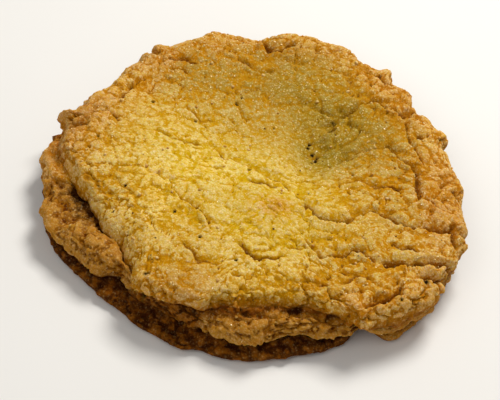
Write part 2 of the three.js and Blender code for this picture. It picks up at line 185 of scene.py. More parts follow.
# Small plates of crust between cracks that open and close: size of a plate, half width of a crack
# and how much that varies, depth, how far plates stand over or under each other, and seed.
PLATES = (
    (5.2, 0.20, 0.60, 0.46, 0.22, 51),
    (2.2, 0.06, 0.34, 0.24, 0.12, 61),
)
PLATE_CROWN = 0.07       # rise of a small plate's middle over its edge
CREASE_LENGTH = 4.2      # ragged creases: how far apart they wind,
CREASE_OPEN = 0.055      # how wide they open, as a share of the noise they follow,
CREASE_DEPTH = 0.26      # and how deep they are
FINE_LUMPS = ((1.25, 0.065, 71, 1.5), (0.68, 0.05, 72, 1))     # as LUMPS
SIDE_LUMPS = ((3.0, 0.34, 73, 2.4), (1.3, 0.42, 74, 1.8), (0.72, 0.14, 76, 1))
STRATA = (5.0, 0.3, 5, 0.12)   # of the side: length, height, how much faster upwards, and tilt
TOP_LIMIT = 12.3         # relief that stands over this height is flattened,
TOP_FLATTEN = 0.7        # by this share

# Pores: x, y and radius.
PORES = (
    (9.0, 11.6, 0.44), (10.0, 10.3, 0.44), (10.6, 8.9, 0.5), (9.3, 12.7, 0.36), (10.9, 9.7, 0.36),
    (10.2, 7.7, 0.36), (8.2, 9.4, 0.3), (12.4, 15.6, 0.36), (12.8, 18.0, 0.3), (-12.8, 10.7, 0.33),
    (-21.5, 13.9, 0.33), (-5.7, 17.8, 0.33), (-4.9, 19.4, 0.28), (-1.5, -0.3, 0.31), (0.4, -0.9, 0.25),
    (2.1, 13.7, 0.23), (31, -18.2, 0.62), (32, -21.8, 0.55), (27.9, -26.7, 0.31), (-16.7, -28.5, 0.39),
    (-22.1, -25.5, 0.28), (-27.9, -25.2, 0.28), (-23.2, -9.4, 0.33), (-13.6, -14.1, 0.31),
    (-1.6, -23.6, 0.35), (-8.4, -19.6, 0.27), (17.6, 2.4, 0.23), (-30.2, 2.6, 0.27),
    (-24.6, -14.8, 0.23),
)
PORE_DEPTH = 0.45
OPEN_PORE_DEPTH = 0.9    # of the underside's own pores
NEAR_ROUNDS = 12         # how often the skin is smoothed to find its small hollows,
FAR_ROUNDS = 130         # and how often again to find its wide ones

# ---- small helpers, on whole arrays


def smooth(t):
    c = np.clip(t, 0.0, 1.0)
    return c * c * (3 - 2 * c)


def mix(a, b, t):
    return a + (b - a) * t


def band(value, start, rise, end, fall):
    """0 up to start and from end on, and 1 between them, past a rise and before a fall."""
    return smooth((value - start) / rise) * smooth((end - value) / fall)


def around(stations, angle):
    """The value that (angle, value) stations have at each angle."""
    at, value = np.array(stations, float).T
    turn = np.mod(angle, 360)
    before = np.searchsorted(at, turn, side="right") - 1
    after = (before + 1) % len(at)
    span = np.mod(at[after] - at[before], 360)
    return mix(value[before], value[after], smooth(np.mod(turn - at[before], 360) / span))


HASH_X, HASH_Y, HASH_Z, HASH_SEED, HASH_STIR = (
    np.uint32(v) for v in (374761393, 668265263, 1274126177, 974634777, 1103515245)
)


def lattice_value(ix, iy, iz, seed):
    """A fixed value from -1 to 1 for each corner of the noise's lattice."""
    ux, uy, uz = (np.asarray(v).astype(np.int64).astype(np.uint32) for v in (ix, iy, iz))
    with np.errstate(over="ignore"):
        h = ux * HASH_X + uy * HASH_Y + uz * HASH_Z + np.uint32(seed) * HASH_SEED
        h = (h ^ (h >> np.uint32(13))) * HASH_STIR
        h = (h ^ (h >> np.uint32(16))) * HASH_Z
    h = h ^ (h >> np.uint32(15))
    return h / float(0xFFFFFFFF) * 2 - 1


def noise(x, y, z, length, seed):
    """Coherent noise from -1 to 1: lattice values, smoothly mixed."""
    px, py, pz = x / length, y / length, z / length
    ix, iy, iz = np.floor(px), np.floor(py), np.floor(pz)
    fx, fy, fz = smooth(px - ix), smooth(py - iy), smooth(pz - iz)

    def along(dy, dz):
        return mix(lattice_value(ix, iy + dy, iz + dz, seed),
                   lattice_value(ix + 1, iy + dy, iz + dz, seed), fx)

    return mix(mix(along(0, 0), along(1, 0), fy), mix(along(0, 1), along(1, 1), fy), fz)


def add_lumps(height, listed, x, y, z):
    """A height with lumps added that are listed as length, height, seed and steepness."""
    for length, rise, seed, steep in listed:
        height = height + rise * noise(x, y, steep * z, length, seed)
    return height


def fractal(x, y, z, length, seed, octaves=3):
    """Noise of several lengths, each half as long and a bit over half as strong as the last."""
    total, strength, weight = 0.0, 1.0, 0.0
    for octave in range(octaves):
        total = total + strength * noise(x, y, z, length / 2 ** octave, seed + 100 * octave)
        weight += strength
        strength *= 0.55
    return total / weight


def cells(x, y, z, length, seed):
    """Cells of scattered points: how far a place is from its cell's border, and the cell's own step,
    from -1 to 1, with a tilt of its own across it."""
    px, py, pz = x / length, y / length, z / length
    ix, iy, iz = np.floor(px), np.floor(py), np.floor(pz)
    nearest = np.full(np.shape(px), 9.0)
    second = np.full(np.shape(px), 9.0)
    step = np.zeros(np.shape(px))
    for dx in (-1, 0, 1):
        for dy in (-1, 0, 1):
            for dz in (-1, 0, 1):
                cx, cy, cz = ix + dx, iy + dy, iz + dz
                ox, oy, oz = (cell + 0.5 + 0.42 * lattice_value(cx, cy, cz, seed + k)
                              for k, cell in enumerate((cx, cy, cz)))
                d = np.sqrt((px - ox) ** 2 + (py - oy) ** 2 + (pz - oz) ** 2)
                second = np.minimum(second, np.maximum(nearest, d))
                tilt_x, tilt_y = (lattice_value(cx, cy, cz, seed + k) for k in (3, 4))
                own = 0.6 * lattice_value(cx, cy, cz, seed + 5) + tilt_x * (px - ox) + tilt_y * (py - oy)
                step = np.where(d < nearest, own, step)
                nearest = np.minimum(nearest, d)
    return (second - nearest) * length, np.clip(step, -1, 1)


def nearest_on_line(x, y, line):
    """Distance to a line of points, the side of its way (1 left, -1 right) and the share along it."""
    best = np.full(x.shape, np.inf)
    side = np.ones(x.shape)
    share = np.zeros(x.shape)
    for i, ((ax, ay), (bx, by)) in enumerate(zip(line, line[1:])):
        dx, dy = bx - ax, by - ay
        t = np.clip(((x - ax) * dx + (y - ay) * dy) / (dx * dx + dy * dy), 0, 1)
        ex, ey = x - ax - t * dx, y - ay - t * dy
        distance = np.hypot(ex, ey)
        closer = distance < best
        best = np.where(closer, distance, best)
        side = np.where(closer, np.where(dx * ey - dy * ex >= 0, 1.0, -1.0), side)
        share = np.where(closer, (i + t) / (len(line) - 1), share)
    return best, side, share


# ---- the section at each angle


def nubs(angle):
    out = 0.0
    for at, reach, half in NUBS:
        along = np.radians(np.mod(angle - at + 180, 360) - 180) * NOMINAL_RADIUS
        out = out + reach * np.exp(-((along / half) ** 2))
    return out


def crumble(angle, edge):
    length, height, seed = EDGE_CRUMBLE
    x, y = NOMINAL_RADIUS * np.cos(np.radians(angle)), NOMINAL_RADIUS * np.sin(np.radians(angle))
    return height * noise(x, y, np.zeros_like(x), length, seed + edge)


def section(angle):
    """Control points of the section, from the top's middle to the underside's: radii and heights."""
    nub = nubs(angle)
    zero = np.zeros_like(angle)
    crust = around(CRUST_RADIUS, angle) + nub + crumble(angle, 0)
    crust_z = around(CRUST_HEIGHT, angle) + 0.5 * crumble(angle, 1)
    under_z = crust_z - around(EDGE_DROP, angle)
    shelf = around(SHELF_RADIUS, angle) + 0.6 * nub + crumble(angle, 2)
    shelf_z = around(SHELF_HEIGHT, angle) + 0.5 * crumble(angle, 3)
    foot = around(FOOT_RADIUS, angle) + 0.4 * nub + 0.6 * crumble(angle, 4)
    lift = around(FOOT_LIFT, angle)
    neck = np.minimum(crust, shelf) - around(NECK_CUT, angle)
    waist = np.minimum(shelf, foot) - around(WAIST_CUT, angle)
    points = (
        (zero, zero + TOP_HEIGHT),
        (0.5 * crust, zero + TOP_HEIGHT),
        (crust - 6, zero + TOP_HEIGHT),
        (crust - 1.7, zero + TOP_HEIGHT - 0.5),
        (crust - 0.3, mix(crust_z, TOP_HEIGHT, 0.25)),
        (crust, crust_z - 0.6),
        (mix(crust, neck, 0.45), under_z),
        (neck, under_z - 0.4),
        (mix(neck, shelf, 0.5), mix(under_z - 0.6, shelf_z + 0.9, 0.6) + around(CREST, angle)),
        (shelf - 0.5, shelf_z + 0.6),
        (shelf, shelf_z - 0.6),
        (waist, mix(shelf_z, FOOT_HEIGHT, 0.62)),
        (foot - 0.4, FOOT_HEIGHT + 0.5 + lift),
        (foot, FOOT_HEIGHT - 0.6 + lift),
        (foot - 0.9, 0.1 + lift),
        (foot - FLAT_INSET, zero),
        (0.5 * foot, zero),
        (zero, zero),
    )
    return np.array([p[0] for p in points]), np.array([p[1] for p in points])


LAST = 17         # the section's last control point
CRUST_END = 6     # control point where the crust's underside begins
SHELF_TOP = 8     # control point where the lower layer begins
SHELF_EDGE = 10   # control point of the lower layer's edge
SHELF_END = 11    # control point of the waist under it
FOOT_END = 14     # control point where the foot meets the tray


def along_section(points, u, mirror):
    """Quadratic B-spline of the section's radii or heights: one span for each control point.
    Past both ends it goes on as its mirror image: radii change sign (mirror -1), heights don't (1)."""
    i = np.clip(np.rint(u), 0, LAST).astype(int)
    t = u - i + 0.5
    w_before, w_after = 0.5 * (1 - t) ** 2, 0.5 * t ** 2

    def at(index):
        inside = np.where(index < 0, 1, np.where(index > LAST, LAST - 1, index))
        found = np.take_along_axis(points, inside[None], axis=0)[0]
        return np.where(inside == index, found, mirror * found)

    return w_before * at(i - 1) + (1 - w_before - w_after) * at(i) + w_after * at(i + 1)


# ---- relief


def mounds(listed, x, y):
    """Height that mounds and hollows add at a place."""
    return sum(rise * np.exp(-((x - mx) ** 2 + (y - my) ** 2) / reach ** 2)
               for mx, my, reach, rise in listed)


def on_shelf(u):
    """How much of the lower layer's relief a place of the section has."""
    return smooth((u - SHELF_TOP + 0.8) / 0.8) * (1 - smooth((u - SHELF_EDGE) / 0.8))


def top_relief(x, y):
    height = mounds(SWELLS, x, y)
    for half, depth, line in TROUGHS:
        height -= depth * np.exp(-((nearest_on_line(x, y, line)[0] / half) ** 2))
    return height


def crack_relief(x, y):
    """The wide cracks, and how near a place is to the narrow split along one or to a fine crack."""
    zero = np.zeros_like(x)
    reach, length = CRACK_WANDER
    fx = x + reach * noise(x, y, zero, length, 21)
    fy = y + reach * noise(x, y, zero, length, 22)
    for reach, length in FINE_WANDER:
        fx = fx + reach * noise(x, y, zero, length, 23)
        fy = fy + reach * noise(x, y, zero, length, 24)
    broken = 0.55 + 0.45 * noise(x, y, zero, 2.6, 25)     # a fissure opens and closes along its way
    deepest, lift, fissure = zero.copy(), zero.copy(), zero.copy()
    for half, depth, line in CRACKS:
        distance, side, share = nearest_on_line(fx, fy, line)
        ends = smooth(share / 0.15) * smooth((1 - share) / 0.1) * 0.7 + 0.3
        wall = smooth(1 - distance / (WALL_SHARE * half))
        slope = np.clip(1 - distance / (SLOPE_SHARE * half), 0, 1) ** 1.3
        deepest = np.maximum(deepest, depth * ends * np.where(side > 0, slope, wall))
        lift = np.maximum(lift, np.where(side < 0, ends * smooth(1 - distance / PLATE_REACH), 0))
        narrow = smooth(1 - distance / (2 * FISSURE_HALF))
        fissure = np.maximum(fissure, ends * smooth((depth - 0.8) / 1.0) * narrow)
    split = fissure * broken
    for half, depth, line in FINE_CRACKS:
        distance, side, share = nearest_on_line(fx, fy, line)
        ends = smooth(share / 0.2) * smooth((1 - share) / 0.2) * 0.8 + 0.2
        near = smooth(1 - distance / (half * np.where(side > 0, 1.5, 0.7)))
        split = np.maximum(split, depth / FISSURE_DEPTH * ends * (0.4 + 0.6 * broken) * near)
    return PLATE_LIFT * lift - deepest, split


def pore_relief(x, y):
    deepest = np.zeros_like(x)
    for px, py, radius in PORES:
        away = np.hypot(x - px, y - py)
        deepest = np.maximum(deepest, smooth(1.25 - away / (1.15 * radius)))
    return deepest


# ---- the skin


def smooth_skin(angle, u):
    """Points of the skin before the relief that goes along its normal."""
    radii, heights = section(angle)
    radius, height = along_section(radii, u, -1), along_section(heights, u, 1)
    x, y = radius * np.cos(np.radians(angle)), radius * np.sin(np.radians(angle))
    on_top = 1 - smooth((u - CRUST_END) / (SHELF_TOP - CRUST_END))
    return np.stack([x, y, height + on_top * top_relief(x, y)], axis=1)


def outward(angle, u):
    """The direction out of the skin, from neighbouring places round the cookie and down its section."""
    step_angle, step_u = 0.4, 0.04
    round_it = smooth_skin(angle + step_angle, u) - smooth_skin(angle - step_angle, u)
    above, lower = np.maximum(0, u - step_u), np.minimum(LAST, u + step_u)
    down = smooth_skin(angle, lower) - smooth_skin(angle, above)
    normal = np.cross(down, round_it)
    length = np.linalg.norm(normal, axis=1, keepdims=True)
    return np.where(length > 1e-9, normal / np.maximum(length, 1e-9), [[0.0, 0.0, 1.0]])


SAMPLES = 24      # sections round the cookie that are measured for the spacing of rings
FINE_U = 0.01     # and how finely


def rings(step, last_u, first_u=0.0):
    """Places u that lie a step apart along the longest section, and how many points go round each."""
    radii, heights = section(np.arange(SAMPLES) * 360 / SAMPLES)

    def at(u):
        every = np.full(SAMPLES, u)
        return along_section(radii, every, -1), along_section(heights, every, 1)

    places, travelled, u = [], 0.0, first_u + FINE_U
    while u < last_u:
        (radius, height), (radius_before, height_before) = at(u), at(u - FINE_U)
        travelled += np.hypot(radius - radius_before, height - height_before).max()
        if travelled >= step:
            places.append((u, max(6, round(2 * math.pi * radius.mean() / step))))
            travelled = 0.0
        u += FINE_U
    return places


def skin_grid():
    """Angle and place of each point of the skin, and its facets."""
    turn = FOOT_END + 0.6
    places = (rings(TOP_STEP, CRUST_END) + rings(SIDE_STEP, turn, CRUST_END)
              + rings(UNDERSIDE_STEP, LAST, turn))
    starts, angles, us = [], [], []
    total = 0
    for k, (u, count) in enumerate(places):
        starts.append(total)
        angles.append(360 * (np.arange(count) + (k % 2) / 2) / count)
        us.append(np.full(count, u))
        total += count
    faces = []
    for k in range(len(places) - 1):
        a, b = places[k][1], places[k + 1][1]
        offset_a, offset_b = (k % 2) / 2, ((k + 1) % 2) / 2
        start_a, start_b = starts[k], starts[k + 1]
        i = j = 0
        while i < a or j < b:
            pa, pb = start_a + i % a, start_b + j % b
            if j >= b or (i < a and (i + 1 + offset_a) / a <= (j + 1 + offset_b) / b):
                faces.append((pa, pb, start_a + (i + 1) % a))
                i += 1
            else:
                faces.append((pa, pb, start_b + (j + 1) % b))
                j += 1
    top, under = total, total + 1
    first, last = places[0][1], places[-1][1]
    faces += [(top, j, (j + 1) % first) for j in range(first)]
    faces += [(under, starts[-1] + (j + 1) % last, starts[-1] + j) for j in range(last)]
    angle = np.concatenate(angles + [[0.0, 0.0]])
    u = np.concatenate(us + [[0.0, float(LAST)]])
    return angle, u, np.array(faces)


def blurred(values, edges, rounds):
    """Values after each point has taken its neighbours' mean a number of times."""
    count = len(values)
    degree = np.bincount(edges.ravel(), minlength=count)[:, None]
    for _ in range(rounds):
        total = np.stack([
            np.bincount(edges[:, 0], values[edges[:, 1], k], count)
            + np.bincount(edges[:, 1], values[edges[:, 0], k], count)
            for k in range(values.shape[1])
        ], axis=1)
        values = 0.5 * values + 0.5 * total / degree
    return values


def point_normals(points, faces):
    a, b, c = (points[faces[:, k]] for k in range(3))
    cross = np.cross(b - a, c - a)
    total = np.zeros_like(points)
    for k in range(3):
        for axis in range(3):
            total[:, axis] += np.bincount(faces[:, k], cross[:, axis], len(points))
    return total / np.maximum(np.linalg.norm(total, axis=1, keepdims=True), 1e-12)


def crackled(x, y):
    """How strongly the top is cracked into small plates: 0 to 1, most at the right and along the rim."""
    from_middle = np.hypot(x - 2, y - 6)
    right = smooth((x - 2) / 18)
    rim = smooth((np.hypot(x, y) - 22) / 14)
    front = smooth((-y - 14) / 10)
    strength = 0.5 + 0.4 * right + 0.3 * rim + 0.25 * front
    return np.clip(strength, 0, 1) * (0.6 + 0.4 * smooth((from_middle - 5) / 10))


def small_plates(x, y, z, strength):
    """Relief of the small plates, and how much of a place is plate (1) and not crumb (0)."""
    relief, share = 0.0, 1.0
    for size, half, spread, depth, step, seed in PLATES:
        warp = 0.3 * size
        wx, wy, wz = (v + warp * fractal(x, y, z, 0.45 * size, seed + k) for k, v in enumerate((x, y, z)))
        gap, own = cells(wx, wy, wz, size, seed + 5)
        opened = half + spread * fractal(x, y, z, 1.1 * size, seed + 7, 2)
        edge = gap - opened * (0.45 + 0.55 * strength)
        plate = smooth(edge / 0.26 + 0.5)
        relief = relief - depth * (0.4 + 0.6 * strength) * (1 - plate)
        relief = relief + step * (0.35 + 0.65 * strength) * own * plate
        relief = relief + PLATE_CROWN * (smooth(edge / (0.3 * size)) - 0.5)
        share = share * mix(1.0, plate, 0.6 + 0.4 * strength)
    winding = np.abs(fractal(0.7 * x, y, z, CREASE_LENGTH, 41, 4))
    opened = CREASE_OPEN * (1 + 0.9 * noise(x, y, z, 5.0, 45)) * (0.4 + 0.6 * strength)
    crease = smooth(1.5 - winding / opened)
    return relief - CREASE_DEPTH * crease * strength, share * (1 - 0.9 * crease)


def make_skin():
    """The fine skin: its points, facets, and the values that its material reads."""
    angle, u, faces = skin_grid()
    base = smooth_skin(angle, u)
    normal = outward(angle, u)
    x, y, z = base.T
    side = smooth((u - CRUST_END + 1.5) / 2)                 # 0 on top, 1 on the side and below
    fade = 1 - smooth((u - (FOOT_END - 2)) / 2)              # the underside stays flat

    # what the solid has
    wide, split = crack_relief(x, y)
    over_edge = 1 - 0.6 * smooth((u - CRUST_END) / 3)
    out = wide * over_edge
    out = add_lumps(out, LUMPS, x, y, z)
    out = out + on_shelf(u) * mounds(KNOBS, x, y)

    # small plates of crust with crumb between them, then finer lumps, and strata on the side
    strength = mix(crackled(x, y), 0.9, side)
    relief, plate = small_plates(x, y, mix(z, 1.5 * z, side), strength)
    plate = plate * (1 - smooth(split / 0.5)) * (1 - smooth((-wide - 0.8) / 0.5))
    plate = plate * (1 - 0.6 * smooth((u - 4.4) / 0.9) * (1 - on_shelf(u)))      # the edge is barer
    out = add_lumps(out + relief, FINE_LUMPS, x, y, z)
    length, height, steep, tilt = STRATA
    strata = 1 - 2 * np.abs(noise(x, y, steep * (z + tilt * x), length, 75))
    out = out + side * (add_lumps(0.0, SIDE_LUMPS, x, y, z) + height * strata * (1 - on_shelf(u)))
    # splits and pores
    pores = pore_relief(x, y) * (1 - side * (1 - on_shelf(u)))
    out = out - FISSURE_DEPTH * split * over_edge - PORE_DEPTH * pores
    points = base + normal * (out * fade)[:, None]
    points[:, 2] -= TOP_FLATTEN * np.maximum(points[:, 2] - TOP_LIMIT, 0)
    # the underside, where pores of the dough are open
    below = smooth((u - FOOT_END - 0.4) / 0.8)
    open_pore = np.clip(fractal(x, y, np.zeros_like(x), 2.4, 81, 3) - 0.12, 0, 1)
    points[:, 2] = np.maximum(points[:, 2], 0) + below * OPEN_PORE_DEPTH * open_pore

    edges = np.sort(np.concatenate([faces[:, [0, 1]], faces[:, [1, 2]], faces[:, [2, 0]]]), axis=1)
    edges = np.unique(edges, axis=0)
    face_normal = point_normals(points, faces)
    near = blurred(points, edges, NEAR_ROUNDS)
    far = blurred(near, edges, FAR_ROUNDS)
    values = {
        "plate": plate,
        "hollow": np.einsum("ij,ij->i", near - points, face_normal),
        "valley": np.einsum("ij,ij->i", far - near, point_normals(near, faces)),
        "split": np.clip(split * (1 - 0.3 * side), 0, 1),
        "crack": np.clip(-wide / 1.2, 0, 1) * (1 - side),
        "pore": pores,
        "side": side,
        "below": below,
    }
    values.update(regions(points, u))
    return points, faces, face_normal, values


# ---- colours and materials


def linear(colour):
    """A colour written as in '#D9A75E', as the linear numbers that shaders use."""
    parts = [int(colour[k:k + 2], 16) / 255 for k in (1, 3, 5)]
    return tuple(c / 12.92 if c <= 0.04045 else ((c + 0.055) / 1.055) ** 2.4 for c in parts) + (1.0,)


CRUST_TAN = linear("#D09C2E")
CRUST_PALE = linear("#E6C882")
YELLOW_TAN = linear("#DAB838")
YELLOW_PALE = linear("#EAD488")
# darker golden: the crust's own, and painted shade at the back
CRUST_GOLDEN_AND_SHADE = linear("#8E6C20")
CRUMB_GOLD = linear("#BC8204")
CRUMB_YELLOW = linear("#CAA20A")
CRUMB_ORANGE = linear("#B2740C")
# the crumb's deeper colour, darkened as painted shade for deep hollows and cracks
DEEP_CRUMB_AND_SHADE = linear("#744000")
TOASTED = linear("#D09A5E")
RIM_BROWN = linear("#A87440")
SHELF_TAN = linear("#B07E34")
SHELF_BROWN = linear("#704006")
SUGAR_PALE = linear("#EED896")
SUGAR_GOLD = linear("#ECC480")
# painted shade on the slope under the crust's lip, down to the ledge
SLOPE_SHADE_BROWN = linear("#602C00")
# the crust's edge: its own browning, darker as painted shade where it turns down
EDGE_BROWN_AND_SHADE = linear("#9A6010")
# painted shade in the wall's hollows and deep places
WALL_SHADE_BROWN = linear("#300C00")
# painted shade in pores, round their rims, and in pinholes
PORE_SHADOW = linear("#120400")
PORE_RIM_SHADE = linear("#6A5018")
PINHOLE_SHADE = linear("#6A4404")
# the wall's browns: its baking, made darker as painted shade as well
BASE_BROWN = linear("#562402")
BASE_TAN = linear("#905612")
GAP_SHADE = (0.93, 0.80, 0.22, 1.0)     # what the gaps between grains keep of each colour
# olive of the sunken middle: partly its crumb, partly painted shade
OLIVE_AND_SHADE = linear("#8C7A1E")

# Where the top is toasted, yellow, golden and olive: x, y, reach and share. Golden and olive are partly
# the crust's own colours, partly painted shade on slopes that face away from the light, most at the back
# and in the sunken middle.
TOASTED_SPOTS = (
    (4.6, -9.4, 3.0, 0.75), (-33, 8, 9, 0.5), (37, -2, 8, 0.3), (30, 25, 9, 0.2), (-24, 27, 9, 0.15),
    (-22.4, 18.6, 2.0, 0.4),
)
YELLOW_SPOTS = (
    (4.6, -9.4, 3.4, -0.7),
    (-3, -2, 15, 0.85), (-17, 2, 12, 0.5), (8, -9, 11, 0.6), (2, -20, 11, 0.4), (-14, -14, 10, 0.25),
)
GOLDEN_SPOTS = (
    (24, -8, 15, 0.5), (0, 26, 18, 1.1), (-16, 27, 10, 0.5), (22, 12, 12, 0.6), (-33, 4, 9, 0.4),
    (26, -24, 10, 0.15), (-11, -32, 6, 0.6), (-24, -24, 6, 0.4),
)
OLIVE_SPOTS = (
    (9.5, 9, 5, 0.65), (11, 3, 4, 0.4),
    (11, 17, 8, 0.6), (8, 26, 9, 0.6), (14, 7, 5, 0.4), (-6, 21, 9, 0.3), (22, 14, 7, 0.35),
)
# Stretches of the side wall in degrees, as (start, rise, end, fall): the lobe and the ledge, the walls
# at the right and the left, the crevice under the crust at the left, and the slope to the ledge.
LOBE, LEDGE = (182, 12, 240, 8), (256, 8, 316, 8)
RIGHT_WALL, LEFT_WALL = (306, 8, 350, 8), (160, 8, 196, 8)
CREVICE, SLOPE = (190, 5, 210, 5), (250, 8, 300, 8)
# How far apart the patterns of the crust's material lie, in millimetres.
BROAD, FROST, PATCH, PINHOLE_CELL, MOTTLE, STREAK, FLECK = 7.0, 3.6, 2.0, 1.7, 1.6, 1.1, 0.75
COARSE_GRAIN, FINE_GRAIN = 0.52, 0.29


class Nodes:
    """A material's node tree, with short ways to add to it. An input's source is a socket or a value."""

    def __init__(self, name):
        self.material = bpy.data.materials.new(name)
        self.material.use_nodes = True
        self.tree = self.material.node_tree

    def feed(self, node, sources):
        for key, source in sources.items():
            if hasattr(source, "is_output"):
                self.tree.links.new(source, node.inputs[key])
            else:
                node.inputs[key].default_value = source

    def add(self, kind, sources, **settings):
        node = self.tree.nodes.new("ShaderNode" + kind)
        for key, value in settings.items():
            setattr(node, key, value)
        self.feed(node, sources)
        return node

    def surface(self, sources):
        """The material, its surface fed by these sources."""
        self.feed(self.tree.nodes["Principled BSDF"], sources)
        return self.material

    def attribute(self, name):
        return self.add("Attribute", {}, attribute_name=name).outputs["Fac"]

    def place(self):
        """Object coordinates in millimetres."""
        metres = self.add("TexCoord", {}).outputs["Object"]
        return self.vector("SCALE", {0: metres, "Scale": 1 / MM})

    def vector(self, operation, sources):
        return self.add("VectorMath", sources, operation=operation).outputs[0]

    def noise(self, place, length, detail=2.0, rough=0.5, distortion=0.0, output="Fac"):
        """Noise from about 0 to 1, whose lumps are a given number of millimetres apart."""
        sources = {"Vector": place, "Scale": 1 / length, "Detail": detail, "Roughness": rough,
                   "Distortion": distortion}
        return self.add("TexNoise", sources).outputs[output]

    def dots(self, place, length):
        """How far a place is from the nearest of scattered dots, and two values of that dot's own."""
        node = self.add("TexVoronoi", {"Vector": place, "Scale": 1 / length}, feature="F1")
        own = self.add("SeparateColor", {0: node.outputs["Color"]})
        return node.outputs["Distance"], own.outputs[0], own.outputs[1]

    def grains(self, place, length):
        """Round grains side by side: their height from 0 to 1, and a tone of each grain's own."""
        distance, own, _ = self.dots(place, length)
        height = self.ramp(distance, 0.65, 0.1)
        return height, self.plus(self.times(height, 0.5), self.times(own, 0.5))

    def pinholes(self, place, length):
        """Tiny holes here and there, for painted shade only: 1 in a hole, 0 beside it. Length is that of
        the cells they lie in.
        """
        distance, _, own = self.dots(self.warped(place, 0.25, 0.2), length)
        size = self.ramp(own, 0.45, 1.0, 0.0, 0.085)
        return self.ramp(self.math("SUBTRACT", distance, size), 0.03, -0.02)

    def warped(self, place, length, reach):
        """Places pushed about by noise."""
        push = self.noise(place, length, output="Color")
        return self.vector("MULTIPLY_ADD", {0: push, 1: (reach, reach, reach), 2: place})

    def math(self, operation, a, b):
        return self.add("Math", {0: a, 1: b}, operation=operation).outputs[0]

    def plus(self, a, b):
        return self.math("ADD", a, b)

    def times(self, a, b):
        return self.math("MULTIPLY", a, b)

    def larger(self, a, b):
        return self.math("MAXIMUM", a, b)

    def ramp(self, value, low, high, to_low=0.0, to_high=1.0):
        """A value stretched from low..high to to_low..to_high, smoothly and within them."""
        sources = {"Value": value, "From Min": low, "From Max": high, "To Min": to_low, "To Max": to_high}
        return self.add("MapRange", sources, interpolation_type="SMOOTHSTEP").outputs["Result"]

    def blend(self, share, a, b, mode="MIX"):
        """Colour a where share is 0 and b where it's 1."""
        return self.add("Mix", {0: share, 6: a, 7: b}, data_type="RGBA", blend_type=mode).outputs[2]

    def paint(self, colour, *layers):
        """A colour under layers, each of them a share and a colour, with the last on top."""
        for share, over in layers:
            colour = self.blend(share, colour, over)
        return colour

    def bump(self, height, distance, strength=1.0, under=None):
        """A normal tilted by a height that stands for a distance in millimetres."""
        sources = {"Height": height, "Distance": distance * MM, "Strength": strength}
        if under is not None:
            sources["Normal"] = under
        return self.add("Bump", sources).outputs["Normal"]


